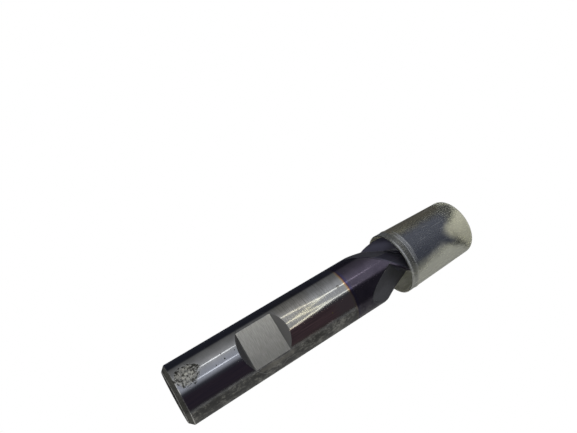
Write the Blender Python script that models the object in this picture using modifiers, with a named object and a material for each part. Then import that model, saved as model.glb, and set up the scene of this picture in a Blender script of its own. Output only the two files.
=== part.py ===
"""Three-tooth solid carbide end mill with a clamping flat on its shank, and the slip-on cap over its teeth.

The tool stands on the end of its shank: the origin is the centre of that end face, +Z runs along the
axis to the cutting tip, and the clamping flat faces -Y. All lengths are in metres.
"""

from math import cos, pi, radians, sin, tan

import bmesh
import bpy
from mathutils import Vector

# The blank: a ground cylinder.
DIAMETER = 0.016
OVERALL_LENGTH = 0.092
BACK_CHAMFER = 0.00115
TIP_CORNER_CHAMFER = 0.0003
END_DISH_ANGLE = radians(2.0)

# The clamping flat, with end walls that slope out of it.
FLAT_CENTRE_FROM_BACK = 0.024
FLAT_LENGTH = 0.010
FLAT_DEPTH = 0.0018
FLAT_WALL_ANGLE = radians(45.0)

# The teeth: right-hand helix, right-hand cutting. The first one starts at TOOTH_START_ANGLE from -Y towards
# +X, and TOOTH_TURNS says how far round from it each tooth lies. They are spaced unevenly, against chatter.
TOOTH_TURNS = (0.0, radians(120.0), radians(248.0))
HELIX_ANGLE = radians(45.0)
CORE_DIAMETER = 0.0079
EDGE_LENGTH = 0.0279
TOOTH_START_ANGLE = radians(2.7)
LAND_WIDTH = 0.0037
HEEL_DEPTH = 0.0020
MARGIN_WIDTH = 0.00015
PRIMARY_RELIEF_WIDTH = 0.0007
PRIMARY_RELIEF_ANGLE = radians(10.0)
RAKE_UNDERCUT = 0.0005
FLOOR_PLACE = 0.42

# The flutes' run-out: a flat facet that starts just behind the edge, turned from it round the axis and
# sloping down towards the tip, then a growing flute. Travel is measured along the helix from the place
# where a cutting edge starts.
FACET_BEFORE_EDGE = 0.00097
FACET_TURN = radians(43.9)
FACET_SLOPE = radians(15.8)
FACET_REACH = 0.0032
FLUTE_TO_FULL_DEPTH = 0.0125
LAND_TO_FULL_WIDTH = 0.0114
LAND_NARROWING = 0.06

# The curve of the full flute: how far its handles lie from the face's top, the floor and the heel.
FACE_HANDLE_DEPTH = 0.6
FLOOR_HANDLE_TO_EDGE = 0.5
FLOOR_HANDLE_TO_HEEL = 0.3
HEEL_HANDLE = 0.4

# The end teeth: each gash falls from the next end edge back to the foot of its own tooth's face.
GASH_ANGLE = radians(12.0)

# The cap: a thin tapered cup, widest at its mouth.
CAP_OVERLAP = 0.0239
CAP_WALL = 0.00027
CAP_END_WALL = 0.0004
CAP_CLEARANCE = 0.0002
CAP_MOUTH_FLARE = 0.00065
CAP_CORNER_RADIUS = 0.0012
CAP_BEAD_FROM_MOUTH = 0.0017
CAP_BEAD_WIDTH = 0.0008
CAP_BEAD_HEIGHT = 0.00012

# Fineness of the facets, and how far a cutting solid reaches past what it cuts.
ROUND_STEPS = 96
FLUTE_STEP = 0.0012
FLUTE_CURVE_POINTS = 5
CORNER_STEPS = 4
OVERCUT = 0.0014
FACING_LEAST = 0.05
FACE_ROOM = 0.00015
WELD_DISTANCE = 0.00001
SHARP_EDGE_ANGLE = radians(25.0)

RADIUS = DIAMETER / 2
EDGE_START_Z = OVERALL_LENGTH - EDGE_LENGTH
FULL_DEPTH = RADIUS - CORE_DIAMETER / 2
TOOTH_PITCHES = [turn - last for last, turn in zip(TOOTH_TURNS, (*TOOTH_TURNS[1:], 2 * pi))]


def clear_scene():
    for obj in list(bpy.data.objects):
        bpy.data.objects.remove(obj, do_unlink=True)


def new_collection(name):
    collection = bpy.data.collections.new(name)
    bpy.context.scene.collection.children.link(collection)
    return collection


def new_material(name, colour, roughness, metallic, alpha=1.0):
    material = bpy.data.materials.new(name)
    material.use_nodes = True
    shader = material.node_tree.nodes["Principled BSDF"]
    shader.inputs["Base Color"].default_value = (*colour, 1.0)
    shader.inputs["Roughness"].default_value = roughness
    shader.inputs["Metallic"].default_value = metallic
    shader.inputs["Alpha"].default_value = alpha
    material.diffuse_color = (*colour, alpha)
    return material


def new_object(name, mesh, collection):
    obj = bpy.data.objects.new(name, mesh)
    collection.objects.link(obj)
    return obj


def mark_as_cutter(obj):
    obj.hide_render = True
    obj.display_type = "WIRE"


def turned_object(name, profile, collection):
    """A body of revolution: the profile, in (radius, height), runs down its outer side."""
    mesh = bpy.data.meshes.new(name)
    points = [(radius, 0.0, height) for radius, height in profile]
    mesh.from_pydata(points, [(i, i + 1) for i in range(len(points) - 1)], [])
    obj = new_object(name, mesh, collection)
    screw = obj.modifiers.new("Turn", "SCREW")
    screw.axis = "Z"
    screw.steps = ROUND_STEPS
    screw.render_steps = ROUND_STEPS
    screw.use_merge_vertices = True
    screw.merge_threshold = WELD_DISTANCE
    screw.use_smooth_shade = True
    return obj


def settle(obj):
    """Keeps the shape that the modifiers make, smooth but for its sharp edges."""
    graph = bpy.context.evaluated_depsgraph_get()
    rough = obj.data
    obj.data = bpy.data.meshes.new_from_object(obj.evaluated_get(graph))
    obj.modifiers.clear()
    bpy.data.meshes.remove(rough)
    obj.data.name = obj.name
    obj.data.shade_smooth()
    obj.data.set_sharp_from_angle(angle=SHARP_EDGE_ANGLE)


def cut(obj, cutter):
    boolean = obj.modifiers.new("Cut " + cutter.name, "BOOLEAN")
    boolean.operation = "DIFFERENCE"
    boolean.solver = "EXACT"
    boolean.object = cutter


def hull_mesh(name, points):
    """The convex solid that spans the points."""
    mesh = bpy.data.meshes.new(name)
    shape = bmesh.new()
    for point in points:
        shape.verts.new(point)
    bmesh.ops.convex_hull(shape, input=shape.verts)
    bmesh.ops.recalc_face_normals(shape, faces=shape.faces)
    shape.to_mesh(mesh)
    shape.free()
    return mesh


def loft_mesh(name, sections):
    """A closed solid through unlike sections that have the same number of points."""
    mesh = bpy.data.meshes.new(name)
    shape = bmesh.new()
    rings = [[shape.verts.new(point) for point in section] for section in sections]
    count = len(rings[0])
    for here, there in zip(rings, rings[1:]):
        for i in range(count):
            j = (i + 1) % count
            shape.faces.new((here[i], here[j], there[j], there[i]))
    shape.faces.new(rings[0])
    shape.faces.new(rings[-1])
    bmesh.ops.triangulate(shape, faces=shape.faces)
    bmesh.ops.recalc_face_normals(shape, faces=shape.faces)
    shape.to_mesh(mesh)
    shape.free()
    return mesh


def mix(first, second, share):
    return tuple(a + (b - a) * share for a, b in zip(first, second))


def ease_in(value, end):
    """0 before zero, 1 after the end, and even between them."""
    return min(max(value / end, 0.0), 1.0)


def ease(value, end):
    """0 before zero, 1 after the end, and smooth between them."""
    share = ease_in(value, end)
    return share * share * (3 - 2 * share)


def bezier(start, start_handle, end_handle, end):
    """Points after the start, up to the end, of a cubic curve in (place, depth)."""
    points = []
    for step in range(1, FLUTE_CURVE_POINTS + 1):
        t = step / FLUTE_CURVE_POINTS
        weights = ((1 - t) ** 3, 3 * t * (1 - t) ** 2, 3 * t * t * (1 - t), t**3)
        ends = (start, start_handle, end_handle, end)
        points.append(tuple(sum(w * p[axis] for w, p in zip(weights, ends)) for axis in (0, 1)))
    return points


def facet_depth(travel, place):
    """Depth under the cylinder of the run-out's flat facet."""
    height = travel * cos(HELIX_ANGLE) - place * sin(HELIX_ANGLE) + FACET_BEFORE_EDGE
    angle = (travel * sin(HELIX_ANGLE) + place * cos(HELIX_ANGLE)) / RADIUS
    facing = max(cos(angle - FACET_TURN), FACING_LEAST)
    depth = RADIUS - (RADIUS * cos(FACET_TURN) - height * tan(FACET_SLOPE)) / facing
    return max(depth, -OVERCUT)


def full_section(travel, next_edge):
    """The outline of the flute once it is full, from its own cutting edge, place 0, to the next tooth's."""
    heel = next_edge - LAND_WIDTH
    floor = FLOOR_PLACE * heel
    margin = next_edge - MARGIN_WIDTH - LAND_NARROWING * max(LAND_TO_FULL_WIDTH - travel, 0.0)
    relief = margin - PRIMARY_RELIEF_WIDTH
    straight_depth = HEEL_DEPTH * PRIMARY_RELIEF_WIDTH / (margin - heel)
    relief_depth = PRIMARY_RELIEF_WIDTH * tan(PRIMARY_RELIEF_ANGLE)
    relief_depth += (straight_depth - relief_depth) * (1 - ease(travel, LAND_TO_FULL_WIDTH))

    face_handle = (-RAKE_UNDERCUT, FACE_HANDLE_DEPTH * FULL_DEPTH)
    floor_handle = (floor * (1 - FLOOR_HANDLE_TO_EDGE), FULL_DEPTH)
    heel_handle = (floor + FLOOR_HANDLE_TO_HEEL * (heel - floor), FULL_DEPTH)
    handle = HEEL_HANDLE * (heel - floor)
    rise = (heel - handle, HEEL_DEPTH * (1 + handle / (margin - heel)))
    return [
        (0.0, 0.0),
        *bezier((0.0, 0.0), face_handle, floor_handle, (floor, FULL_DEPTH)),
        *bezier((floor, FULL_DEPTH), heel_handle, rise, (heel, HEEL_DEPTH)),
        (relief, relief_depth),
        (margin, 0.0),
    ]


def flute_section(travel, next_edge):
    """The outline that a flute's wheel clears, in (place across the flute, depth)."""
    cleared = []
    for place, depth in full_section(travel, next_edge):
        grown = -OVERCUT
        if travel > 0:
            grown = depth * (1 - (1 - ease_in(travel, FLUTE_TO_FULL_DEPTH)) ** 2)
        cleared.append((place, min(depth, max(facet_depth(travel, place), grown))))
    if travel < 0:
        cleared[0] = (-FACE_ROOM, cleared[0][1])
    margin = cleared[-1][0]
    over_edge = (-FACE_ROOM, -2 * OVERCUT)
    over_margin = (margin + OVERCUT, -2 * OVERCUT)
    outside = [mix(over_margin, over_edge, i / FLUTE_CURVE_POINTS) for i in range(FLUTE_CURVE_POINTS + 1)]
    return cleared + outside


def on_flute(travel, place, depth):
    """The point at this travel along the helix, place across it and depth under the cylinder."""
    height = EDGE_START_Z + travel * cos(HELIX_ANGLE) - place * sin(HELIX_ANGLE)
    arc = travel * sin(HELIX_ANGLE) + place * cos(HELIX_ANGLE)
    angle = TOOTH_START_ANGLE + arc / RADIUS
    return Vector(((RADIUS - depth) * sin(angle), -(RADIUS - depth) * cos(angle), height))


def flute_mesh(pitch):
    """A flute's cutting solid, from just before its run-out to past the tip, for the pitch to the next tooth."""
    next_edge = pitch * RADIUS * cos(HELIX_ANGLE)
    past_tip = (EDGE_LENGTH + OVERCUT + (next_edge + OVERCUT) * sin(HELIX_ANGLE)) / cos(HELIX_ANGLE)
    start = -FACET_REACH
    steps = round((past_tip - start) / FLUTE_STEP)
    travels = [start + i * FLUTE_STEP for i in range(steps + 1)]
    sections = [[on_flute(t, *point) for point in flute_section(t, next_edge)] for t in travels]
    return loft_mesh("flute", sections)


def flat_mesh():
    """The wedge that clears the clamping flat and its sloping end walls."""
    floor = RADIUS - FLAT_DEPTH
    reach = RADIUS + OVERCUT
    points = []
    for x in (-reach, reach):
        for side in (-1, 1):
            foot = FLAT_CENTRE_FROM_BACK + side * FLAT_LENGTH / 2
            head = foot + side * (reach - floor) / tan(FLAT_WALL_ANGLE)
            points.append((x, -floor, foot))
            points.append((x, -reach, head))
    return hull_mesh("flat", points)


def gash_mesh(pitch):
    """The wedge between a tooth's end edge and the next one's, falling back from the next edge."""
    edge_angle = TOOTH_START_ANGLE + EDGE_LENGTH * tan(HELIX_ANGLE) / RADIUS
    next_edge = Vector((sin(edge_angle + pitch), -cos(edge_angle + pitch), 0.0))
    behind = Vector((-next_edge.y, next_edge.x, 0.0)) * -1
    reach = DIAMETER
    centre_z = OVERALL_LENGTH - RADIUS * tan(END_DISH_ANGLE)
    top_z = OVERALL_LENGTH + OVERCUT + reach * tan(END_DISH_ANGLE)

    corners = [behind * MARGIN_WIDTH, behind * MARGIN_WIDTH + next_edge * reach]
    for angle in (edge_angle + pitch / 2, edge_angle):
        corners.append(Vector((reach * sin(angle), -reach * cos(angle), 0.0)))
    points = []
    for corner in corners:
        rise = corner.dot(next_edge) * tan(END_DISH_ANGLE)
        fall = (corner.dot(behind) - MARGIN_WIDTH) * tan(GASH_ANGLE)
        points.append((corner.x, corner.y, centre_z + rise - fall))
        points.append((corner.x, corner.y, top_z))
    return hull_mesh("gash", points)


def make_cutter(parts, cutters):
    """The one-piece cutting tool."""
    dish = (RADIUS - TIP_CORNER_CHAMFER) * tan(END_DISH_ANGLE)
    profile = [
        (0.0, OVERALL_LENGTH - dish),
        (RADIUS - TIP_CORNER_CHAMFER, OVERALL_LENGTH),
        (RADIUS, OVERALL_LENGTH - TIP_CORNER_CHAMFER),
        (RADIUS, BACK_CHAMFER),
        (RADIUS - BACK_CHAMFER, 0.0),
        (0.0, 0.0),
    ]
    tool = turned_object("cutter", profile, parts)
    flat = new_object("flat_wedge", flat_mesh(), cutters)
    mark_as_cutter(flat)
    cut(tool, flat)
    for tooth, (turn, pitch) in enumerate(zip(TOOTH_TURNS, TOOTH_PITCHES)):
        for name, mesh in (("flute_sweep", flute_mesh(pitch)), ("gash_wedge", gash_mesh(pitch))):
            cutter = new_object(f"{name}_{tooth}", mesh, cutters)
            cutter.rotation_euler.z = turn
            mark_as_cutter(cutter)
            cut(tool, cutter)
    settle(tool)
    tool.data.materials.append(new_material("carbide", (0.16, 0.15, 0.17), 0.3, 1.0))
    return tool


def make_cap(parts):
    """The tapered cup that slips over the teeth and stops on the tip."""
    end_z = OVERALL_LENGTH + CAP_CLEARANCE + CAP_END_WALL
    mouth_z = OVERALL_LENGTH - CAP_OVERLAP
    inner_end = RADIUS + CAP_CLEARANCE
    outer_end = inner_end + CAP_WALL
    taper = CAP_MOUTH_FLARE / (end_z - mouth_z)

    def outer(z):
        return outer_end + (end_z - z) * taper

    def inner(z):
        return outer(z) - CAP_WALL

    bead_z = mouth_z + CAP_BEAD_FROM_MOUTH
    corner_top = outer(end_z) - CAP_CORNER_RADIUS
    corner = [
        (
            corner_top + CAP_CORNER_RADIUS * sin(pi / 2 * i / CORNER_STEPS),
            end_z - CAP_CORNER_RADIUS * (1 - cos(pi / 2 * i / CORNER_STEPS)),
        )
        for i in range(CORNER_STEPS + 1)
    ]
    profile = [
        (0.0, end_z),
        *corner,
        (outer(bead_z + CAP_BEAD_WIDTH / 2), bead_z + CAP_BEAD_WIDTH / 2),
        (outer(bead_z) + CAP_BEAD_HEIGHT, bead_z),
        (outer(bead_z - CAP_BEAD_WIDTH / 2), bead_z - CAP_BEAD_WIDTH / 2),
        (outer(mouth_z), mouth_z),
        (inner(mouth_z), mouth_z),
        (inner(end_z - CAP_END_WALL), end_z - CAP_END_WALL),
        (0.0, end_z - CAP_END_WALL),
    ]
    cap = turned_object("tip_cap", profile, parts)
    settle(cap)
    cap.data.materials.append(new_material("frosted_plastic", (0.42, 0.43, 0.36), 0.45, 0.0, 0.6))
    return cap


def main():
    clear_scene()
    parts = new_collection("end_mill")
    cutters = new_collection("cutting_solids")
    make_cutter(parts, cutters)
    make_cap(parts)


main()
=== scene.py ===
"""Looks of a coated carbide end mill with a frosted cap over its teeth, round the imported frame.

The tool stands on the end of its shank, +Z runs to the cutting tip and the clamping flat faces -Y.
Lengths are in metres, and in the materials in millimetres.
"""

from math import cos, pi, radians, sin, tan

import bmesh
import bpy
from mathutils import Matrix, Vector


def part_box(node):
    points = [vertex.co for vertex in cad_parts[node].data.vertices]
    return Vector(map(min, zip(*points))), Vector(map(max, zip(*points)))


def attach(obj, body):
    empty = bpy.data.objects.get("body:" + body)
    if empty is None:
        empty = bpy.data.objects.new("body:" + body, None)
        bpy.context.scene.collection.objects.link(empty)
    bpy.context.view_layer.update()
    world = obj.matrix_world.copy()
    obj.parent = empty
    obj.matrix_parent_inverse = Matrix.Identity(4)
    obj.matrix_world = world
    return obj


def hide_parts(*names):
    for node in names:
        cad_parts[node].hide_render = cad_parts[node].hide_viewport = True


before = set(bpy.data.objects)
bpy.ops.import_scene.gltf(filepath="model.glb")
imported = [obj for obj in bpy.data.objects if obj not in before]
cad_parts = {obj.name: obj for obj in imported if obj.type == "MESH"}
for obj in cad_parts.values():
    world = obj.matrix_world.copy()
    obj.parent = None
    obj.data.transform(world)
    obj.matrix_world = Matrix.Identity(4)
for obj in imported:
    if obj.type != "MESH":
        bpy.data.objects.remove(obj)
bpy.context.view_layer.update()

# The tool and its cap, from the frame.
TOOL_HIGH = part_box("cutter")[1]
RADIUS = TOOL_HIGH.x
LENGTH = TOOL_HIGH.z
CAP_MOUTH_Z, CAP_END_Z = (corner.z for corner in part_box("tip_cap"))

# The blank.
BACK_CHAMFER = 0.00115
TIP_CORNER_CHAMFER = 0.0003
END_DISH_ANGLE = radians(2.0)
EDGE_BREAK = 0.00008

# The clamping flat.
FLAT_CENTRE_FROM_BACK = 0.024
FLAT_LENGTH = 0.010
FLAT_DEPTH = 0.0018
FLAT_WALL_ANGLE = radians(45.0)

# The teeth.
TOOTH_TURNS = (0.0, radians(120.0), radians(248.0))
HELIX_ANGLE = radians(45.0)
CORE_DIAMETER = 0.0079
EDGE_LENGTH = 0.0279
TOOTH_START_ANGLE = radians(2.7)
LAND_WIDTH = 0.0037
HEEL_DEPTH = 0.0020
MARGIN_WIDTH = 0.00015
PRIMARY_RELIEF_WIDTH = 0.0007
PRIMARY_RELIEF_ANGLE = radians(10.0)
RAKE_UNDERCUT = 0.0005
FLOOR_PLACE = 0.42
FACET_BEFORE_EDGE = 0.00097
FACET_TURN = radians(43.9)
FACET_SLOPE = radians(15.8)
FACET_REACH = 0.0032
FLUTE_START = 0.0005
FLUTE_TO_FULL_DEPTH = 0.0125
LAND_TO_FULL_WIDTH = 0.0114
LAND_NARROWING = 0.06
FACE_HANDLE_DEPTH = 0.6
FLOOR_HANDLE_TO_EDGE = 0.5
FLOOR_HANDLE_TO_HEEL = 0.3
HEEL_HANDLE = 0.4
GASH_ANGLE = radians(12.0)

# The cap.
CAP_WALL = 0.00027
CAP_END_WALL = 0.0004
CAP_CLEARANCE = 0.0002
CAP_MOUTH_FLARE = 0.00065
CAP_CORNER_RADIUS = 0.0012
CAP_BEAD_FROM_MOUTH = 0.0030
CAP_BEAD_WIDTH = 0.0008
CAP_BEAD_HEIGHT = 0.00012

# Fineness.
ROUND_STEPS = 360
FLUTE_STEP = 0.0005
FLUTE_CURVE_POINTS = 16
CORNER_STEPS = 10
OVERCUT = 0.0014
FACE_ROOM = 0.00015
EDGE_BREAK_STEPS = 3
WELD_DISTANCE = 0.000001
ON_WALL_DISTANCE = 10 * WELD_DISTANCE
SHARP_EDGE_ANGLE = radians(9.5)
CAP_SHARP_EDGE_ANGLE = radians(40.0)

EDGE_START_Z = LENGTH - EDGE_LENGTH
FULL_DEPTH = RADIUS - CORE_DIAMETER / 2
TOOTH_PITCHES = [turn - last for last, turn in zip(TOOTH_TURNS, (*TOOTH_TURNS[1:], 2 * pi))]

# The cap's outer wall.
CAP_OUTER_END = RADIUS + CAP_CLEARANCE + CAP_WALL
CAP_TAPER = CAP_MOUTH_FLARE / (CAP_END_Z - CAP_MOUTH_Z)

# The finish. Places on the tool are heights in millimetres and angles in degrees from the flat's side.
MM = 1000.0
RADIUS_MM = RADIUS * MM
ARC_OF_DEGREE = RADIUS_MM * pi / 180
COATING_START = 50.1
FLUTES_FROM = 53.0
FACETS_FROM = 54.0

# Bare ground carbide. Where a finish has two colours, the darker comes first.
STEEL = ((0.27, 0.275, 0.28), (0.36, 0.365, 0.375))
BLUISH_STEEL = (0.25, 0.265, 0.315)
WORN_STEEL = ((0.30, 0.29, 0.265), (0.36, 0.35, 0.33))
GRINDING_RINGS = (0.17, 0.17, 0.16)
# Painted reflection tints for one side of the shank.
PURPLE_REFLECTION_TINT = ((0.15, 0.13, 0.185), (0.24, 0.18, 0.22))
ROSY_REFLECTION_TINT = ((0.24, 0.17, 0.18), (0.55, 0.35, 0.35))
PALE_REFLECTION_TINT = (0.37, 0.29, 0.295)
GROUND_FLAT = ((0.26, 0.258, 0.245), (0.46, 0.457, 0.44))
# Painted shade: the flat darker towards +X.
SHADED_FLAT = (0.14, 0.14, 0.137)
# The near wall's lighter foot is a painted highlight.
NEAR_WALL = ((0.0, (0.24, 0.24, 0.24)), (0.35, (0.12, 0.12, 0.125)), (1.0, (0.12, 0.12, 0.13)))
# Painted shade: the near wall darker towards -X.
SHADED_NEAR_WALL = (0.11, 0.11, 0.11)
FAR_WALL = (0.18, 0.178, 0.172)
END_FACE = ((0.035, 0.035, 0.028), (0.13, 0.13, 0.11))
# Painted shade on the end face and chamfer.
PAINTED_SHADE_END_FACE = (0.03, 0.03, 0.026)
# Bright rims: partly wear and partly a painted highlight.
RIM_HIGHLIGHT_AND_WEAR = (0.62, 0.62, 0.58)

# The coating, and the heat tints from just before its step to just after it.
COATING = ((0.071, 0.062, 0.088), (0.095, 0.083, 0.114))
FLUTE_COATING = (0.056, 0.055, 0.080)
FACET_COATING = ((0.085, 0.086, 0.098), (0.11, 0.112, 0.126))
HEAT_TINTS = (
    (0.0, (0.33, 0.33, 0.33)),
    (0.25, (0.36, 0.32, 0.24)),
    (0.38, (0.38, 0.24, 0.13)),
    (0.48, (0.16, 0.07, 0.06)),
    (0.58, (0.055, 0.05, 0.115)),
    (0.78, (0.07, 0.065, 0.125)),
    (1.0, (0.08, 0.07, 0.11)),
)

# Dirt, on the lower side partly a painted reflection of the table below, and corrosion. A patch is its
# height, its angle, half its length and half its width.
DIRT_AND_REFLECTION = ((0.0, (0.010, 0.010, 0.008)), (0.5, (0.064, 0.063, 0.057)), (1.0, (0.20, 0.197, 0.176)))
STAIN = (0.014, 0.014, 0.011)
STAIN_PATCHES = ((7.0, 50, 5.0, 11), (19.5, 49, 2.6, 8), (36.5, 52, 4.2, 10), (11.5, 62, 2.5, 6))
PALE_DIRT = (0.15, 0.142, 0.12)
PALE_DIRT_PATCH = (25.0, 47, 6.0, 7)
CRUST = ((0.055, 0.053, 0.042), (0.30, 0.295, 0.25))
CRUST_PATCH = (4.4, -20, 3.4, 22)

# Small round marks, each with its height, its angle and its radius.
PIT = (0.02, 0.02, 0.016)
PIT_SPECKS = ((13.7, -9.0, 0.22), (11.2, -6.5, 0.16), (13.5, -19.5, 0.14), (16.7, -13.0, 0.15))
GREY_MARK = (0.12, 0.12, 0.115)
GREY_SPECK = (47.8, -13.5, 0.5)
YELLOW_MARK = (0.62, 0.50, 0.22)
YELLOW_SPECK = (42.9, 23.0, 0.25)

# The cap's plastic, and the milky film on it, which carries painted shadow, shade and light.
PLASTIC = ((0.57, 0.58, 0.50), (0.67, 0.67, 0.55))
PLASTIC_IOR = 1.25
PLASTIC_TRANSMISSION = 0.97
FILM_ROUGHNESS = 0.45
THIN_FILM = ((0.16, 0.17, 0.18), (0.24, 0.25, 0.25))
BACK_FILM = (0.22, 0.225, 0.19)
# Painted shadow of the teeth behind the cap.
PAINTED_TEETH_SHADOW = (0.041, 0.048, 0.071)
# Painted shade on the cap's shaded side.
SHADED_FILM = (0.068, 0.063, 0.048)
END_FILM = (0.36, 0.36, 0.30)
# Painted light beside and past the teeth, where light comes through the cap.
PAINTED_LIGHT_BESIDE_TEETH = (0.46, 0.465, 0.40)
PAINTED_LIGHT_PAST_TEETH = (0.45, 0.445, 0.345)
SCRATCHED_FILM = (0.36, 0.37, 0.37)
# The mouth's film: its lighter near side is painted light.
MOUTH_FILM_AND_PAINTED_LIGHT = ((0.065, 0.069, 0.070), (0.30, 0.305, 0.28))
# The inner wall's film, painted light where little light reaches it.
INNER_FILM_AND_PAINTED_LIGHT = ((0.58, 0.57, 0.45), (0.80, 0.79, 0.67))
# Painted highlights on the bead's edges and the lip.
BEAD_AND_LIP_HIGHLIGHT = ((0.33, 0.345, 0.375), (0.42, 0.425, 0.39))

# The studio.
WORLD_LIGHT = 0.7
KEY_PLACE = (-0.30, -0.25, 0.18)
KEY_AIM = (0, 0, 0.05)
KEY_SIZE = 0.25
KEY_POWER = 0.9
FLOOR_HALF_SIZE = 2.0
FLOOR_DROP = 0.00005
FLOOR_COLOUR = (0.86, 0.86, 0.86)

# The ring round the tool that only gloss sees: its levels by angle, and where its dark front starts.
RING_RADIUS = 0.45
RING_HALF_HEIGHT = 3.0
RING_STEPS = 96
RING_LEVELS = (
    (-180.0, (0.03, 0.03, 0.03)),
    (-165.0, (0.03, 0.032, 0.045)),
    (-103.0, (0.03, 0.032, 0.045)),
    (-97.5, (0.06, 0.062, 0.072)),
    (-94.5, (0.19, 0.19, 0.19)),
    (-88.5, (0.255, 0.255, 0.255)),
    (-76.2, (0.33, 0.33, 0.33)),
    (-64.0, (0.41, 0.41, 0.415)),
    (-52.0, (0.62, 0.62, 0.63)),
    (-40.0, (0.82, 0.83, 0.85)),
    (24.0, (0.85, 0.86, 0.88)),
    (26.0, (0.075, 0.075, 0.082)),
    (66.0, (0.075, 0.075, 0.08)),
    (76.0, (0.09, 0.09, 0.09)),
    (90.0, (0.19, 0.19, 0.185)),
    (120.0, (0.23, 0.23, 0.225)),
    (152.0, (0.22, 0.22, 0.215)),
    (168.0, (0.05, 0.05, 0.05)),
    (180.0, (0.03, 0.03, 0.03)),
)
DARK_FRONT = (0.075, 0.075, 0.085)
DARK_FRONT_START = 3.0
DARK_FRONT_SETBACK = 8.0

# The thin lamps on the ring: from one height and angle to another, and their colour.
RING_LAMPS = (
    ((40, -41.4), (92, -41.4), (4.2, 4.2, 4.2)),
    ((40, -9.8), (92, -9.8), (3.6, 3.6, 3.6)),
    ((130, -41.4), (152, -40.6), (4.4, 4.4, 4.2)),
    ((152, -40.6), (204, -28.2), (5.0, 4.8, 4.0)),
    ((152, -11.6), (170, -13.8), (5.0, 4.8, 4.0)),
    ((170, -13.8), (204, -29.5), (6.0, 5.8, 4.4)),
    ((166, -12.8), (204, -0.6), (6.0, 5.8, 4.4)),
    ((146, 13.5), (204, 1.4), (6.0, 5.8, 4.8)),
    ((204, -28.2), (266, -28.2), (4.2, 4.2, 4.0)),
    ((204, 0.4), (248, 0.4), (3.6, 3.6, 3.4)),
)

# The photograph's camera.
SENSOR_WIDTH = 36.0
LENS = 33.70
NEAREST_SEEN = 0.001
CAMERA_PLACE = Vector((0.0061413, -0.1389680, -0.0049420))
CAMERA_AIM = Vector((-0.0249079, -0.0058078, 0.0475690))
CAMERA_ROLL = radians(62.11)


def smooth_step(value, end):
    """0 before zero, 1 after the end, and smooth between them."""
    share = min(max(value / end, 0.0), 1.0)
    return share * share * (3 - 2 * share)


def bezier(start, start_handle, end_handle, end):
    """Points after the start, up to the end, of a cubic curve in (place, depth)."""
    points = []
    for step in range(1, FLUTE_CURVE_POINTS + 1):
        t = step / FLUTE_CURVE_POINTS
        weights = ((1 - t) ** 3, 3 * t * (1 - t) ** 2, 3 * t * t * (1 - t), t**3)
        ends = (start, start_handle, end_handle, end)
        points.append(tuple(sum(w * p[axis] for w, p in zip(weights, ends)) for axis in (0, 1)))
    return points


def full_section(travel, pitch):
    """The outline of the flute once it is full, from its own cutting edge to the next tooth's margin."""
    to_next = pitch * RADIUS * cos(HELIX_ANGLE)
    heel = to_next - LAND_WIDTH
    floor = FLOOR_PLACE * heel
    margin = to_next - MARGIN_WIDTH - LAND_NARROWING * max(LAND_TO_FULL_WIDTH - travel, 0.0)
    relief = margin - PRIMARY_RELIEF_WIDTH
    straight_depth = HEEL_DEPTH * PRIMARY_RELIEF_WIDTH / (margin - heel)
    relief_depth = PRIMARY_RELIEF_WIDTH * tan(PRIMARY_RELIEF_ANGLE)
    relief_depth += (straight_depth - relief_depth) * (1 - smooth_step(travel, LAND_TO_FULL_WIDTH))

    face_handle = (-RAKE_UNDERCUT, FACE_HANDLE_DEPTH * FULL_DEPTH)
    floor_handle = (floor * (1 - FLOOR_HANDLE_TO_EDGE), FULL_DEPTH)
    heel_handle = (floor + FLOOR_HANDLE_TO_HEEL * (heel - floor), FULL_DEPTH)
    handle = HEEL_HANDLE * (heel - floor)
    rise = (heel - handle, HEEL_DEPTH * (1 + handle / (margin - heel)))
    return [
        (0.0, 0.0),
        *bezier((0.0, 0.0), face_handle, floor_handle, (floor, FULL_DEPTH)),
        *bezier((floor, FULL_DEPTH), heel_handle, rise, (heel, HEEL_DEPTH)),
        (relief, relief_depth),
        (margin, 0.0),
    ]


def flute_section(travel, pitch, share):
    """The closed outline that a flute's wheel clears, in (place across the flute, depth)."""
    cleared = [(place, depth * share) for place, depth in full_section(travel, pitch)]
    margin = cleared[-1][0]
    outside = []
    for i in range(FLUTE_CURVE_POINTS + 1):
        back = i / FLUTE_CURVE_POINTS
        outside.append(((margin + OVERCUT) * (1 - back) - FACE_ROOM * back, -2 * OVERCUT))
    return cleared + outside


def on_flute(travel, place, depth):
    """The point at this travel along the helix, place across it and depth under the cylinder."""
    height = EDGE_START_Z + travel * cos(HELIX_ANGLE) - place * sin(HELIX_ANGLE)
    arc = travel * sin(HELIX_ANGLE) + place * cos(HELIX_ANGLE)
    angle = TOOTH_START_ANGLE + arc / RADIUS
    return Vector(((RADIUS - depth) * sin(angle), -(RADIUS - depth) * cos(angle), height))


def to_object(name, shape):
    """An object with this bmesh, at the origin."""
    mesh = bpy.data.meshes.new(name)
    shape.to_mesh(mesh)
    shape.free()
    obj = bpy.data.objects.new(name, mesh)
    bpy.context.scene.collection.objects.link(obj)
    return obj


def add_swept(shape, pitch, start, end, share_at):
    """Adds a grid laid along a flute's outline from section to section, closed round and capped."""
    stations = round((end - start) / FLUTE_STEP)
    around = len(flute_section(start, pitch, 1.0))
    made = bmesh.ops.create_grid(shape, x_segments=around, y_segments=stations, size=0.5)
    outlines = []
    for row in range(stations + 1):
        travel = start + (end - start) * row / stations
        outlines.append((travel, flute_section(travel, pitch, share_at(travel))))
    for vert in made["verts"]:
        column = round((vert.co.x + 0.5) * around) % around
        travel, outline = outlines[round((vert.co.y + 0.5) * stations)]
        vert.co = on_flute(travel, *outline[column])
    bmesh.ops.remove_doubles(shape, verts=shape.verts, dist=WELD_DISTANCE)
    close(shape)


def close(shape):
    """Fills the open ends."""
    ends = bmesh.ops.holes_fill(shape, edges=[e for e in shape.edges if e.is_boundary], sides=0)
    bmesh.ops.triangulate(shape, faces=ends["faces"])


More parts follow.
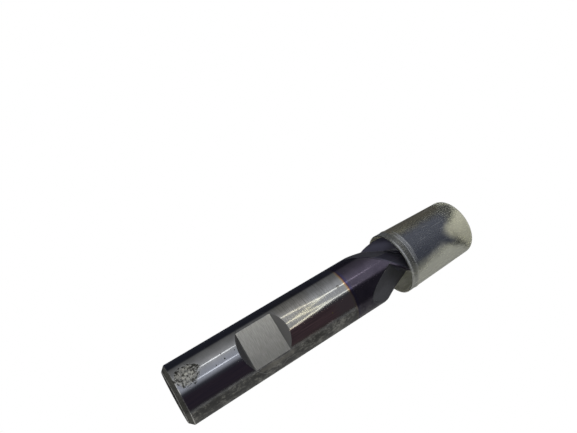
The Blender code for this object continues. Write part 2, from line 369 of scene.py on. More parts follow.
def add_flute(shape, pitch):
    """Adds the flute from where it starts to past the tip."""
    to_next = pitch * RADIUS * cos(HELIX_ANGLE)
    past_tip = (EDGE_LENGTH + OVERCUT + (to_next + OVERCUT) * sin(HELIX_ANGLE)) / cos(HELIX_ANGLE)
    add_swept(shape, pitch, FLUTE_START, past_tip, lambda travel: smooth_step(travel, FLUTE_TO_FULL_DEPTH))


def add_facet(shape, pitch):
    """Adds what the flat facet takes off where a flute runs out: a full flute, cut by the facet's plane."""
    end = FLUTE_TO_FULL_DEPTH - FLUTE_STEP
    add_swept(shape, pitch, -FACET_REACH, end, lambda travel: 1.0)
    turn = TOOTH_START_ANGLE + FACET_TURN
    outward = Vector((sin(turn), -cos(turn), 0.0))
    foot = outward * RADIUS * cos(FACET_TURN) + Vector((0, 0, EDGE_START_Z - FACET_BEFORE_EDGE))
    normal = outward + Vector((0, 0, tan(FACET_SLOPE)))
    every = shape.verts[:] + shape.edges[:] + shape.faces[:]
    bmesh.ops.bisect_plane(shape, geom=every, plane_co=foot, plane_no=normal, clear_inner=True)
    close(shape)


def add_hull(shape, points):
    """Adds the convex solid that spans the points."""
    verts = [shape.verts.new(point) for point in points]
    bmesh.ops.convex_hull(shape, input=verts)


def add_flat(shape, _):
    """Adds the wedge that clears the clamping flat and its sloping end walls."""
    floor = RADIUS - FLAT_DEPTH
    reach = RADIUS + OVERCUT
    points = []
    for x in (-reach, reach):
        for side in (-1, 1):
            foot = FLAT_CENTRE_FROM_BACK + side * FLAT_LENGTH / 2
            head = foot + side * (reach - floor) / tan(FLAT_WALL_ANGLE)
            points.append((x, -floor, foot))
            points.append((x, -reach, head))
    add_hull(shape, points)


def add_gash(shape, pitch):
    """Adds the wedge between a tooth's end edge and the next one's, falling back from the next edge."""
    edge_angle = TOOTH_START_ANGLE + EDGE_LENGTH * tan(HELIX_ANGLE) / RADIUS
    next_edge = Vector((sin(edge_angle + pitch), -cos(edge_angle + pitch), 0.0))
    behind = Vector((next_edge.y, -next_edge.x, 0.0))
    reach = 2 * RADIUS
    centre_z = LENGTH - RADIUS * tan(END_DISH_ANGLE)
    top_z = LENGTH + OVERCUT + reach * tan(END_DISH_ANGLE)
    corners = [behind * MARGIN_WIDTH, behind * MARGIN_WIDTH + next_edge * reach]
    for angle in (edge_angle + pitch / 2, edge_angle):
        corners.append(Vector((reach * sin(angle), -reach * cos(angle), 0.0)))
    points = []
    for corner in corners:
        rise = corner.dot(next_edge) * tan(END_DISH_ANGLE)
        fall = (corner.dot(behind) - MARGIN_WIDTH) * tan(GASH_ANGLE)
        points.append((corner.x, corner.y, centre_z + rise - fall))
        points.append((corner.x, corner.y, top_z))
    add_hull(shape, points)


def wheel_marks(name, add_cut, turns=TOOTH_TURNS):
    """An object with a cutting solid at each turn round the axis."""
    shape = bmesh.new()
    for turn, pitch in zip(turns, TOOTH_PITCHES):
        one = bmesh.new()
        add_cut(one, pitch)
        bmesh.ops.recalc_face_normals(one, faces=one.faces)
        bmesh.ops.rotate(one, verts=one.verts, cent=(0, 0, 0), matrix=Matrix.Rotation(turn, 3, "Z"))
        mesh = bpy.data.meshes.new(name)
        one.to_mesh(mesh)
        one.free()
        shape.from_mesh(mesh)
        bpy.data.meshes.remove(mesh)
    return to_object(name, shape)


def turned(name, profile):
    """A body of revolution about Z from a profile in (radius, height)."""
    shape = bmesh.new()
    verts = [shape.verts.new((radius, 0.0, height)) for radius, height in profile]
    edges = [shape.edges.new(pair) for pair in zip(verts, verts[1:])]
    bmesh.ops.spin(
        shape,
        geom=verts + edges,
        axis=(0, 0, 1),
        cent=(0, 0, 0),
        angle=2 * pi,
        steps=ROUND_STEPS,
        use_merge=True,
    )
    bmesh.ops.remove_doubles(shape, verts=shape.verts, dist=WELD_DISTANCE)
    bmesh.ops.recalc_face_normals(shape, faces=shape.faces)
    return to_object(name, shape)


def rounded(corner, before, after):
    """Points of the small curve that breaks a profile's corner."""
    corner, before, after = Vector(corner), Vector(before), Vector(after)
    start = corner + (before - corner).normalized() * EDGE_BREAK
    end = corner + (after - corner).normalized() * EDGE_BREAK
    points = []
    for i in range(EDGE_BREAK_STEPS + 1):
        t = i / EDGE_BREAK_STEPS
        point = start * (1 - t) ** 2 + corner * 2 * t * (1 - t) + end * t * t
        points.append(tuple(point))
    return points


def cut(obj, cutter):
    """Takes the cutter's solids, which may overlap, out of the object."""
    boolean = obj.modifiers.new("Cut", "BOOLEAN")
    boolean.operation = "DIFFERENCE"
    boolean.solver = "EXACT"
    boolean.use_self = True
    boolean.object = cutter
    graph = bpy.context.evaluated_depsgraph_get()
    obj.data = bpy.data.meshes.new_from_object(obj.evaluated_get(graph))
    obj.data.name = obj.name
    obj.modifiers.clear()
    bpy.data.objects.remove(cutter, do_unlink=True)


def smooth_round(mesh):
    """Smooth but for sharp edges, and with a true cylinder's normals on the round wall."""
    mesh.shade_smooth()
    mesh.set_sharp_from_angle(angle=SHARP_EDGE_ANGLE)
    normals = [Vector(corner.vector) for corner in mesh.corner_normals]
    on_wall = [abs(vert.co.xy.length - RADIUS) < ON_WALL_DISTANCE for vert in mesh.vertices]
    for face in mesh.polygons:
        if face.center.xy.length > RADIUS - ON_WALL_DISTANCE and all(on_wall[i] for i in face.vertices):
            for loop in face.loop_indices:
                place = mesh.vertices[mesh.loops[loop].vertex_index].co
                normals[loop] = place.xy.normalized().to_3d()
    mesh.normals_split_custom_set(normals)


def make_cutter():
    """The one-piece tool: a ground blank with its flat, flutes and end gashes."""
    dish = (RADIUS - TIP_CORNER_CHAMFER) * tan(END_DISH_ANGLE)
    corners = [
        (0.0, LENGTH - dish),
        (RADIUS - TIP_CORNER_CHAMFER, LENGTH),
        (RADIUS, LENGTH - TIP_CORNER_CHAMFER),
        (RADIUS, BACK_CHAMFER),
        (RADIUS - BACK_CHAMFER, 0.0),
        (0.0, 0.0),
    ]
    profile = corners[:3]
    for i in (3, 4):
        profile += rounded(corners[i], corners[i - 1], corners[i + 1])
    profile.append(corners[5])
    tool = turned("cutter_body", profile)
    cut(tool, wheel_marks("flat", add_flat, (0.0,)))
    cut(tool, wheel_marks("gashes", add_gash))
    cut(tool, wheel_marks("facets", add_facet))
    cut(tool, wheel_marks("flutes", add_flute))
    smooth_round(tool.data)
    tool.data.materials.clear()
    tool.data.materials.append(carbide_material())
    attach(tool, "root")
    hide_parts("cutter")


def make_cap():
    """The tapered cup over the teeth, with a rolled mouth and a bead."""

    def outer(z):
        return CAP_OUTER_END + (CAP_END_Z - z) * CAP_TAPER

    def inner(z):
        return outer(z) - CAP_WALL

    profile = [(0.0, CAP_END_Z)]
    for i in range(CORNER_STEPS + 1):
        turn = pi / 2 * i / CORNER_STEPS
        radius = outer(CAP_END_Z) - CAP_CORNER_RADIUS * (1 - sin(turn))
        profile.append((radius, CAP_END_Z - CAP_CORNER_RADIUS * (1 - cos(turn))))
    bead_z = CAP_MOUTH_Z + CAP_BEAD_FROM_MOUTH
    for i in range(CORNER_STEPS + 1):
        along = 1 - 2 * i / CORNER_STEPS
        z = bead_z + along * CAP_BEAD_WIDTH / 2
        profile.append((outer(z) + CAP_BEAD_HEIGHT * cos(pi / 2 * along) ** 2, z))
    middle = outer(CAP_MOUTH_Z) - CAP_WALL / 2
    for i in range(CORNER_STEPS + 1):
        turn = pi * i / CORNER_STEPS
        profile.append((middle + CAP_WALL / 2 * cos(turn), CAP_MOUTH_Z + CAP_WALL / 2 * (1 - sin(turn))))
    inside_end = CAP_END_Z - CAP_END_WALL
    inside_corner = CAP_CORNER_RADIUS - CAP_WALL
    for i in range(CORNER_STEPS + 1):
        turn = pi / 2 * i / CORNER_STEPS
        radius = inner(inside_end) - inside_corner * (1 - cos(turn))
        profile.append((radius, inside_end - inside_corner * (1 - sin(turn))))
    profile.append((0.0, inside_end))
    cap = turned("cap_shell", profile)
    cap.data.shade_smooth()
    cap.data.set_sharp_from_angle(angle=CAP_SHARP_EDGE_ANGLE)
    cap.data.materials.append(cap_material())
    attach(cap, "root")
    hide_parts("tip_cap")


class Shade:
    """A shader socket, on which sums are written as Python expressions."""

    def __init__(self, tree, socket=None):
        self.tree = tree
        self.socket = socket

    def node(self, kind, settings=None, inputs=None, output=0):
        """A node of this type, with its settings made first and then its sockets."""
        made = self.tree.nodes.new(kind)
        for name, value in (settings or {}).items():
            if name == "stops":
                ramp = made.color_ramp
                while len(ramp.elements) < len(value):
                    ramp.elements.new(0.5)
                for element, (place, colour) in zip(ramp.elements, value):
                    element.position = place
                    element.color = (*colour, 1.0)
            else:
                setattr(made, name, value)
        for name, value in (inputs or {}).items():
            self.feed(made.inputs[name], value)
        return Shade(self.tree, made.outputs[output] if len(made.outputs) else None)

    def feed(self, socket, value):
        """Links the value to the socket, or sets it there if it is a number, colour or vector."""
        if isinstance(value, Shade):
            self.tree.links.new(value.socket, socket)
        elif socket.type == "RGBA":
            socket.default_value = (*value, 1.0)
        else:
            socket.default_value = value

    def maths(self, operation, *values):
        return self.node("ShaderNodeMath", {"operation": operation}, dict(enumerate(values)))

    def __add__(self, other):
        return self.maths("ADD", self, other)

    __radd__ = __add__

    def __mul__(self, other):
        return self.maths("MULTIPLY", self, other)

    __rmul__ = __mul__

    def __sub__(self, other):
        return self.maths("SUBTRACT", self, other)

    def __rsub__(self, other):
        return self.maths("SUBTRACT", other, self)

    def larger(self, other):
        return self.maths("MAXIMUM", self, other)

    def magnitude(self):
        return self.maths("ABSOLUTE", self)

    def rise(self, low, high):
        """0 below low, 1 above high, and smooth between them."""
        inputs = {"Value": self, "From Min": low, "From Max": high}
        return self.node("ShaderNodeMapRange", {"interpolation_type": "SMOOTHSTEP"}, inputs)

    def within(self, low, high, soft):
        """1 between low and high, fading over a soft width at both."""
        return self.rise(low - soft, low + soft) * (1 - self.rise(high - soft, high + soft))

    def parts(self):
        """The three coordinates of this vector."""
        return [self.node("ShaderNodeSeparateXYZ", None, {0: self}, axis) for axis in "XYZ"]

    def scaled(self, by):
        return self.node("ShaderNodeVectorMath", {"operation": "MULTIPLY"}, {0: self, 1: by})

    def noise(self, scale, detail=3.0, roughness=0.5, stretch=(1.0, 1.0, 1.0)):
        inputs = {"Vector": self.scaled(stretch), "Scale": scale, "Detail": detail, "Roughness": roughness}
        return self.node("ShaderNodeTexNoise", None, inputs)

    def over(self, under, colour):
        """This mask lays a colour over another."""
        inputs = {0: self, 6: under, 7: colour}
        return self.node("ShaderNodeMix", {"data_type": "RGBA"}, inputs, 2)

    def ramp(self, low, high, stops):
        """Colours along this value, at places between low and high."""
        share = self.node("ShaderNodeMapRange", None, {"Value": self, "From Min": low, "From Max": high})
        return self.node("ShaderNodeValToRGB", {"stops": stops}, {"Fac": share})

    def blend(self, low, high, colours):
        """The first colour where this value is low, and the second where it is high."""
        return self.ramp(low, high, tuple(zip((0.0, 1.0), colours)))


def largest(values):
    """The largest of several values."""
    most, *others = values
    for value in others:
        most = most.larger(value)
    return most


def new_material(name):
    """A material with only its output, and a maker of its nodes."""
    material = bpy.data.materials.new(name)
    material.use_nodes = True
    material.node_tree.nodes.clear()
    return material, Shade(material.node_tree)


def finish_material(maker, shader):
    maker.node("ShaderNodeOutputMaterial", None, {"Surface": shader})


def places(maker):
    """The point in millimetres, its height and its angle in degrees from the flat's side."""
    point = maker.node("ShaderNodeTexCoord", None, None, "Object").scaled((MM, MM, MM))
    x, y, z = point.parts()
    angle = x.maths("ARCTAN2", x, y * -1) * (180 / pi)
    return point, z, angle


def from_axis(point):
    """How far the point lies from the tool's axis."""
    x, y, _ = point.parts()
    squares = x * x + y * y
    return squares.maths("SQRT", squares)


def streaks(z, angle, shrink, scale, detail, roughness):
    """Noise on the unrolled wall, drawn out along the tool by shrinking its height."""
    unrolled = z.node("ShaderNodeCombineXYZ", None, {"X": angle * ARC_OF_DEGREE, "Y": z * shrink})
    return unrolled.noise(scale, detail, roughness)


def ragged_distance(point, z, angle, patch, raggedness):
    """How far the point lies from a patch's middle, about 1 at its ragged edge."""
    at_z, at_angle, half_length, half_width = patch
    along = (z - at_z) * (1 / half_length)
    across = (angle - at_angle) * (1 / half_width)
    return along * along + across * across + (point.noise(0.5, 4, 0.65) - 0.5) * raggedness


def blotch(point, z, angle, patch):
    """1 on a ragged patch."""
    return 1 - ragged_distance(point, z, angle, patch, 2.2).rise(0.3, 1.2)


def speck(z, angle, at_z, at_angle, radius):
    """1 on a small round mark."""
    along = z - at_z
    across = (angle - at_angle) * ARC_OF_DEGREE
    return 1 - (along * along + across * across).rise(radius * radius * 0.5, radius * radius)


def past_line(side, z, at_z, at_angle, slope, soft):
    """1 past a sloping line through a height and angle, with its slope in degrees a millimetre."""
    return (side - at_angle - (z - at_z) * slope).rise(-soft, soft)


def steel_colour(point, z, angle):
    """Bare ground carbide: fine grinding rings, and a purple to rosy painted reflection tint along one side,
    where it reflects dark things.
    """
    steel = point.noise(0.35, 4, 0.6).blend(0.3, 0.7, STEEL)
    bluish = (1 - z.rise(17, 30)) * angle.within(-14, 30, 8)
    steel = (bluish * 0.7).over(steel, BLUISH_STEEL)
    worn = point.noise(0.4, 3, 0.6, (1.0, 1.0, 0.4)).blend(0.4, 0.6, WORN_STEEL)
    steel = (z.within(30.0, 39.0, 2.0) * 0.8).over(steel, worn)
    rings = point.noise(1.0, 5, 0.75, (0.25, 0.25, 7.0))
    ringed = z.within(30.0, 47.0, 3.0) * 0.55 + 0.10
    steel = (rings.rise(0.47, 0.62) * ringed).over(steel, GRINDING_RINGS)

    # Painted reflection: the side that reflects dark things is tinted purple, then rosy, then pale.
    streaky = streaks(z, angle, 0.03, 3.0, 4, 0.7)
    purple = streaky.blend(0.3, 0.7, PURPLE_REFLECTION_TINT)
    rosy = streaky.blend(0.3, 0.7, ROSY_REFLECTION_TINT)
    reflection_tint = z.rise(42, 46).over(z.rise(20, 28).over(purple, rosy), PALE_REFLECTION_TINT)
    return (angle.within(9, 36, 4) * (1 - z.rise(49.3, 50))).over(steel, reflection_tint)


def coating_colour(point, z, angle):
    """The dark violet coating, the heat tints at the step where it starts, and where they show, painted
    stronger on the lit side.
    """
    coated = point.noise(0.35, 4, 0.6).blend(0.3, 0.7, COATING)
    line = z + (point.noise(0.8, 3, 0.5) - 0.5) * 0.3
    tint = line.ramp(COATING_START - 1.0, COATING_START + 1.0, HEAT_TINTS)
    # Painted highlight: the tints show stronger where the highlight passes.
    lit = 0.45 + 0.55 * angle.within(-40, 8, 12)
    return coated, tint, line.within(COATING_START - 0.75, COATING_START + 0.9, 0.2) * lit


def dirt_and_reflection_film(point, z, angle):
    """Where the shank is dirty and carries a painted reflection of the table below, and its colour there: an
    uneven grey-brown film with dark stains.
    """
    edge = (point.noise(0.30, 4, 0.6, (1.0, 1.0, 0.5)) - 0.5) * 14
    side = (angle + edge).within(40, 135, 5) * (1 - z.rise(60, 66) * 0.5)
    mottle = point.noise(1.5, 8, 0.82, (1.0, 1.0, 0.75)) * 0.6 + point.noise(0.35, 4, 0.6) * 0.4
    colour = mottle.ramp(0.44, 0.565, DIRT_AND_REFLECTION)
    stains = largest(blotch(point, z, angle, patch) for patch in STAIN_PATCHES)
    colour = (stains * (1 - mottle.rise(0.49, 0.60) * 0.8) * 0.82).over(colour, STAIN)
    colour = (blotch(point, z, angle, PALE_DIRT_PATCH) * 0.6).over(colour, PALE_DIRT)
    return side * (0.85 + 0.15 * mottle.rise(0.40, 0.58)), colour


def flat_masks(point, z, angle):
    """The ground flat, its two end walls, and which of them is the far one."""
    out = point.parts()[1] * -1 - (RADIUS - FLAT_DEPTH) * MM
    beyond = z - FLAT_CENTRE_FROM_BACK * MM
    near = beyond.magnitude()
    half = FLAT_LENGTH / 2 * MM
    wall_end = half + FLAT_DEPTH * MM / tan(FLAT_WALL_ANGLE)
    flat_side = angle.within(-62, 62, 1)
    floor = flat_side * (1 - out.magnitude().rise(0.02, 0.06)) * (1 - near.rise(half, half + 0.04))
    slope = (near - half - out).magnitude()
    wall = flat_side * (1 - slope.rise(0.03, 0.07)) * (1 - near.rise(wall_end + 0.05, wall_end + 0.1))
    return floor, wall, beyond.rise(-1, 1)


def flat_colours(point, cross):
    """The clamping flat's cross-ground floor, painted darker towards +X as painted shade, its near wall,
    with a painted highlight at its foot and painted shade towards -X, and its far wall.
    """
    x, y, _ = point.parts()
    # Painted shade towards +X on the floor and towards -X on the near wall.
    ground = (x.rise(-7, 7) * 0.6).over(cross.blend(0.3, 0.7, GROUND_FLAT), SHADED_FLAT)
    up_wall = (y * -1).ramp((RADIUS - FLAT_DEPTH) * MM, RADIUS_MM - 0.3, NEAR_WALL)
    return ground, (1 - x.rise(-4, 0)).over(up_wall, SHADED_NEAR_WALL), FAR_WALL


def pitted_patch(point, z, angle):
    """A corroded patch near the back end: black pits round a crusted middle, and how far it reaches."""
    far = ragged_distance(point, z, angle, CRUST_PATCH, 1.6)
    reach = 1 - far.rise(0.35, 1.1)
    spots = point.noise(1.7, 3, 0.7)
    rimmed = far.within(0.35, 0.85, 0.3)
    pit = (spots + rimmed * 0.055).rise(0.53, 0.565) * reach.rise(0.02, 0.25)
    crust = (1 - far.rise(0.2, 0.8)) * (1 - spots.rise(0.44, 0.52)) * 0.75
    return pit, crust, reach


def facet_distance(point, turn):
    """How far the point lies from the facet's plane at this tooth, in millimetres."""
    facing = TOOTH_START_ANGLE + FACET_TURN + turn
    normal = (sin(facing), -cos(facing), tan(FACET_SLOPE))
    start = (EDGE_START_Z - FACET_BEFORE_EDGE) * tan(FACET_SLOPE) + RADIUS * cos(FACET_TURN)
    along = point.node("ShaderNodeVectorMath", {"operation": "DOT_PRODUCT"}, {0: point, 1: normal}, "Value")
    return (along - start * MM).magnitude()


def carbide_material():
    """Ground carbide, bare on the shank and with a dark violet coating from its step on."""
    material, maker = new_material("carbide")
    point, z, angle = places(maker)
    radius = from_axis(point)
    fine = point.noise(3.0, 5, 0.7)

    coated, tint, tinted = coating_colour(point, z, angle)
    in_flute = (1 - radius.rise(RADIUS_MM - 0.10, RADIUS_MM - 0.04)) * z.rise(FLUTES_FROM, FLUTES_FROM + 1)
    coated = in_flute.over(coated, FLUTE_COATING)
    coat = z.rise(COATING_START - 0.1, COATING_START + 0.1)
    colour = tinted.over(coat.over(steel_colour(point, z, angle), coated), tint)

    dirt_and_reflection, dirt_and_reflection_colour = dirt_and_reflection_film(point, z, angle)
    # Dirt, and on the lower side a painted reflection of the table below.
    dirt_and_painted_light = dirt_and_reflection * (1 - coat * 0.7)
    colour = dirt_and_painted_light.over(colour, dirt_and_reflection_colour)

    cross = point.noise(1.0, 4, 0.7, (0.5, 1.0, 6.0))
    floor, wall, is_far = flat_masks(point, z, angle)
    ground, near_wall, far_wall = flat_colours(point, cross)
    colour = floor.over(colour, ground)
    colour = wall.over(colour, is_far.over(near_wall, far_wall))

    chamfer = BACK_CHAMFER * MM
    face_rim = RADIUS_MM - chamfer
    end = 1 - z.rise(chamfer - 0.15, chamfer - 0.03)
    end_colour = fine.blend(0.35, 0.65, END_FACE)
    # Painted shade: the end face and chamfer darker from -22 to 48 degrees.
    end_colour = (angle.within(-22, 48, 14) * 0.55).over(end_colour, PAINTED_SHADE_END_FACE)
    colour = end.over(colour, end_colour)
    # Bright rims along the back chamfer's edges: partly wear and partly a painted highlight.
    rims = radius.within(face_rim - 0.11, face_rim + 0.07, 0.04) * (1 - z.rise(0.1, 0.2))
    rims = rims + z.within(chamfer - 0.07, chamfer + 0.09, 0.05)
    colour = (rims * fine.rise(0.35, 0.55)).over(colour, RIM_HIGHLIGHT_AND_WEAR)

    pit, crust, reach = pitted_patch(point, z, angle)
    crust_colour = point.noise(1.3, 3, 0.7).rise(0.40, 0.64).over(*CRUST)
    colour = (reach * 0.75).larger(crust).over(colour, crust_colour)
    pit = largest([pit, *(speck(z, angle, *mark) for mark in PIT_SPECKS)])
    colour = pit.over(colour, PIT)
    colour = (speck(z, angle, *GREY_SPECK) * 0.8).over(colour, GREY_MARK)
    colour = (speck(z, angle, *YELLOW_SPECK) * 0.7).over(colour, YELLOW_MARK)

    on_planes = sum(1 - facet_distance(point, turn).rise(0.03, 0.08) for turn in TOOTH_TURNS)
    matte = point.noise(1.2, 4, 0.7).blend(0.3, 0.7, FACET_COATING)
    colour = (z.rise(FACETS_FROM, FACETS_FROM + 0.4) * on_planes).over(colour, matte)

    metal = (1 - dirt_and_painted_light * 0.85) * (1 - reach * 0.75) * (1 - end * 0.6) * (1 - coat * 0.04)
    metal = metal * (1 - in_flute * 0.2)
    rough = 0.10 + 0.30 * dirt_and_painted_light + 0.15 * reach + floor * 0.28 + wall * 0.3 + end * 0.3
    rough = rough + coat * 0.04 + in_flute * 0.28
    grain = point.noise(1.0, 4, 0.6, (0.4, 0.4, 16.0))
    height = grain * 0.25 + floor * cross * 0.8 + crust * 3.0 - pit * 6.0 + dirt_and_painted_light * fine * 0.6
    bump = maker.node("ShaderNodeBump", None, {"Strength": 0.25, "Distance": 0.00002, "Height": height})
    inputs = {"Base Color": colour, "Metallic": metal, "Roughness": rough, "Normal": bump}
    finish_material(maker, maker.node("ShaderNodeBsdfPrincipled", None, inputs))
    return material


def cap_film(point, z, angle, rubbed):
    """How thick the cap's milky film is, and its colour: a bluish painted shadow over the teeth, painted
    shade on the shaded side, and pale painted light beside and past the teeth.
    """
    end_z = CAP_END_Z * MM
    side = angle + (point.noise(0.25, 3, 0.55) - 0.5) * 16
    front = (1 - angle.magnitude().rise(75, 130)) * (1 - z.rise(end_z - 0.8, end_z - 0.2))
    on_teeth = side.within(-38, 34, 16) * z.within(70, 87, 3)
    shaded = (1 - side.rise(-66, -22)) * (1 - z.rise(86.5, 92)) * front
    beside = past_line(side, z, 71, 36, -0.9, 14) * past_line(side, z, 83, 30, 4.0, 12) * front
    past_teeth = past_line(side, z, 84, 4, -3.3, 14) * (1 - past_line(side, z, 84, 5, 8.0, 22)) * front
    thickness = 0.05 + 0.15 * (rubbed - 0.45)
    colour = rubbed.blend(0.35, 0.65, THIN_FILM)
    # Painted shadow over the teeth, painted shade on the shaded side, and painted light beside and past the
    # teeth.
    for mask, most, film_colour in (
        (1 - front, 0.26, BACK_FILM),
        (on_teeth, 0.70, PAINTED_TEETH_SHADOW),
        (shaded, 0.88, SHADED_FILM),
        (z.rise(end_z - 2.6, end_z - 0.3), 0.40, END_FILM),
        (beside, 0.72, PAINTED_LIGHT_BESIDE_TEETH),
        (past_teeth, 0.72, PAINTED_LIGHT_PAST_TEETH),
    ):
        film = mask * most
        colour = (film * 2.2).over(colour, film_colour)
        thickness = thickness.larger(film)
    return thickness + 0.10 * (rubbed - 0.5), colour


def cap_inner_wall(point, z):
    """1 on the inner side of the cap's wall."""
    outer = (CAP_OUTER_END + CAP_END_Z * CAP_TAPER) * MM - z * CAP_TAPER
    return (outer - from_axis(point)).rise(CAP_WALL * MM * 0.3, CAP_WALL * MM * 0.7)


def cap_material():
    """Frosted plastic, clear enough to show the teeth behind it, with a darker mouth whose near side is
    painted lighter, an inner wall painted light, painted highlights on its lip and bead, and rubbed marks.
    """
    material, maker = new_material("frosted_plastic")
    point, z, angle = places(maker)
    mouth_z = CAP_MOUTH_Z * MM
    bead_z = mouth_z + CAP_BEAD_FROM_MOUTH * MM

    rubbed = point.noise(0.45, 4, 0.65, (1.0, 1.0, 0.3))
    scratch = streaks(z, angle, 0.10, 1.6, 2, 0.6).rise(0.62, 0.68)
    scratch = scratch + point.noise(1.0, 3, 0.6, (3.0, 3.0, 0.5)).rise(0.66, 0.76)
    height = rubbed + scratch * 0.1
    bump = maker.node("ShaderNodeBump", None, {"Strength": 0.03, "Distance": 0.00005, "Height": height})

    near_side = angle.rise(10, 62) * (1 - angle.rise(95, 150))
    lip = z.within(mouth_z + 0.25, mouth_z + 0.80, 0.15) * angle.within(-28, 70, 14)
    mouth = 1 - z.rise(mouth_z + 1.6, mouth_z + 2.8)
    # The inner wall seen through the mouth: a film painted bright, as painted light.
    dirt_and_painted_light = cap_inner_wall(point, z) * angle.magnitude().rise(84, 95)
    dirt_and_painted_light = dirt_and_painted_light * (1 - z.rise(mouth_z + 7, mouth_z + 14))
    # Painted highlights on the bead's edges and on the lip.
    first_arc = z.within(bead_z - 0.60, bead_z - 0.42, 0.08) * angle.within(-45, 62, 12)
    second_arc = z.within(bead_z + 0.36, bead_z + 0.56, 0.08) * angle.within(-48, 0, 10)
    between = z.within(bead_z - 0.6, bead_z + 0.5, 0.3) * angle.within(-40, 20, 12) * 0.4
    arcs = (first_arc + second_arc).larger(between)

    clear = maker.node(
        "ShaderNodeBsdfPrincipled",
        None,
        {
            "Base Color": point.noise(0.16, 3, 0.5).blend(0.3, 0.7, PLASTIC),
            "Roughness": 0.20 + 0.14 * rubbed,
            "IOR": PLASTIC_IOR,
            "Transmission Weight": PLASTIC_TRANSMISSION,
            "Normal": bump,
        },
    )
    thickness, colour = cap_film(point, z, angle, rubbed)
    colour = (scratch * 0.14).over(colour, SCRATCHED_FILM)
    # The mouth is darker, with its near side painted lighter: painted light.
    colour = mouth.over(colour, near_side.over(*MOUTH_FILM_AND_PAINTED_LIGHT))
    colour = dirt_and_painted_light.over(colour, rubbed.blend(0.4, 0.6, INNER_FILM_AND_PAINTED_LIGHT))
    # Painted highlights on the bead and lip, brighter on the near side.
    colour = arcs.larger(lip * 0.8).over(colour, near_side.over(*BEAD_AND_LIP_HIGHLIGHT))
    inputs = {"Base Color": colour, "Roughness": FILM_ROUGHNESS, "Normal": bump}
    milky = maker.node("ShaderNodeBsdfPrincipled", None, inputs)
    milk = largest([thickness + 0.02 * scratch, mouth * 0.5, dirt_and_painted_light * 0.92, arcs * 0.6, lip * 0.6])
    finish_material(maker, maker.node("ShaderNodeMixShader", None, {0: milk, 1: clear, 2: milky}))
    return material


def seen_rays(maker):
    """1 for the rays that show a background: camera, glossy and transmission rays."""
    kinds = ("Camera", "Glossy", "Transmission")
    return largest(maker.node("ShaderNodeLightPath", None, None, f"Is {kind} Ray") for kind in kinds)


def make_world():
    """A white background, whose light on the tool is a little less."""
    world = bpy.data.worlds.new("studio")
    bpy.context.scene.world = world
    world.use_nodes = True
    world.node_tree.nodes.clear()
    maker = Shade(world.node_tree)
    strength = WORLD_LIGHT + (1 - WORLD_LIGHT) * seen_rays(maker)
    light = maker.node("ShaderNodeBackground", None, {"Color": (1.0, 1.0, 1.0), "Strength": strength})
    maker.node("ShaderNodeOutputWorld", None, {"Surface": light})


def make_floor():
    """A pale floor under the tool, seen from above only, because the photograph looks from just below it."""
    shape = bmesh.new()
    bmesh.ops.create_grid(shape, x_segments=1, y_segments=1, size=FLOOR_HALF_SIZE)
    bmesh.ops.translate(shape, verts=shape.verts, vec=(0, 0, -FLOOR_DROP))
    floor = to_object("floor", shape)
    material, maker = new_material("pale_floor")
    paper = maker.node("ShaderNodeBsdfDiffuse", None, {"Color": FLOOR_COLOUR})
    clear = maker.node("ShaderNodeBsdfTransparent", None, {"Color": (1.0, 1.0, 1.0)})
    back = maker.node("ShaderNodeNewGeometry", None, None, "Backfacing")
    finish_material(maker, maker.node("ShaderNodeMixShader", None, {0: back, 1: paper, 2: clear}))
    floor.data.materials.append(material)
    floor.visible_diffuse = False
    floor.visible_glossy = False
    floor.visible_transmission = False
    floor.visible_shadow = False


def ring_lamp(height, angle, start, end):
    """1 on a thin lamp of the ring, from one height and angle to another."""
    slope = (end[1] - start[1]) / (end[0] - start[0])
    off = (angle - (height - start[0]) * slope - start[1]).magnitude()
    return (1 - off.rise(0.5, 1.7)) * height.within(start[0], end[0], 4)


def ring_light(height, angle):
    """The ring's light: its levels round the tool, its dark front and its thin lamps."""
    stops = [((at_angle + 180.0) / 360.0, colour) for at_angle, colour in RING_LEVELS]
    light = angle.ramp(-180.0, 180.0, stops)
    start = DARK_FRONT_START + height.within(130, 185, 28) * DARK_FRONT_SETBACK
    dark_front = (angle - start).rise(-9.0, 9.0) * (1 - angle.rise(60, 66))
    light = dark_front.over(light, DARK_FRONT)
    for low_end, high_end, colour in RING_LAMPS:
        light = ring_lamp(height, angle, low_end, high_end).over(light, colour)
    return light


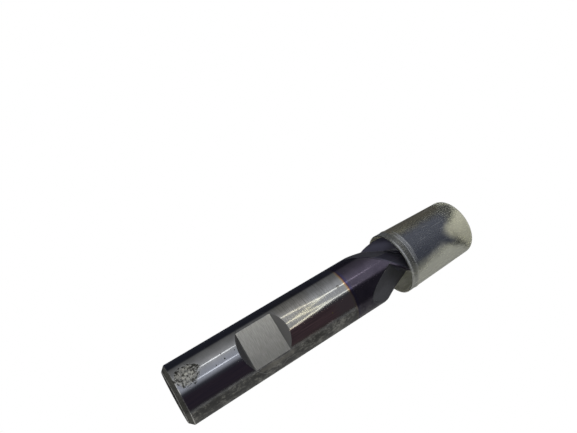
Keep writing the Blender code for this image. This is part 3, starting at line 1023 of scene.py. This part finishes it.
def make_ring():
    """The studio round the tool, seen only in its gloss."""
    shape = bmesh.new()
    foot = [shape.verts.new((0.0, RING_RADIUS, z)) for z in (-RING_HALF_HEIGHT, RING_HALF_HEIGHT)]
    bmesh.ops.spin(
        shape,
        geom=foot + [shape.edges.new(foot)],
        axis=(0, 0, 1),
        cent=(0, 0, 0),
        angle=2 * pi,
        steps=RING_STEPS,
        use_merge=True,
    )
    bmesh.ops.remove_doubles(shape, verts=shape.verts, dist=WELD_DISTANCE)
    ring = to_object("studio_ring", shape)
    material, maker = new_material("studio_ring")
    _, height, angle = places(maker)
    glow = maker.node("ShaderNodeEmission", None, {"Color": ring_light(height, angle), "Strength": 1.0})
    finish_material(maker, glow)
    ring.data.materials.append(material)
    ring.visible_camera = False
    ring.visible_diffuse = False
    ring.visible_transmission = False
    ring.visible_shadow = False


def make_lights():
    """A square key lamp that gloss doesn't see."""
    lamp = bpy.data.lights.new("key", "AREA")
    lamp.shape = "RECTANGLE"
    lamp.size = KEY_SIZE
    lamp.size_y = KEY_SIZE
    lamp.energy = KEY_POWER
    key = bpy.data.objects.new("key", lamp)
    key.location = KEY_PLACE
    key.rotation_euler = (Vector(KEY_AIM) - key.location).to_track_quat("-Z", "Y").to_euler()
    key.visible_glossy = False
    bpy.context.scene.collection.objects.link(key)


def make_camera():
    """The photograph's camera, turned about its own line of sight."""
    data = bpy.data.cameras.new("camera")
    data.sensor_width = SENSOR_WIDTH
    data.lens = LENS
    data.clip_start = NEAREST_SEEN
    camera = bpy.data.objects.new("camera", data)
    look = (CAMERA_AIM - CAMERA_PLACE).to_track_quat("-Z", "Y").to_matrix().to_4x4()
    camera.matrix_world = Matrix.Translation(CAMERA_PLACE) @ look @ Matrix.Rotation(CAMERA_ROLL, 4, "Z")
    bpy.context.scene.collection.objects.link(camera)
    bpy.context.scene.camera = camera


make_cutter()
make_cap()
make_world()
make_floor()
make_ring()
make_lights()
make_camera()
bpy.context.scene.view_settings.view_transform = "Standard"
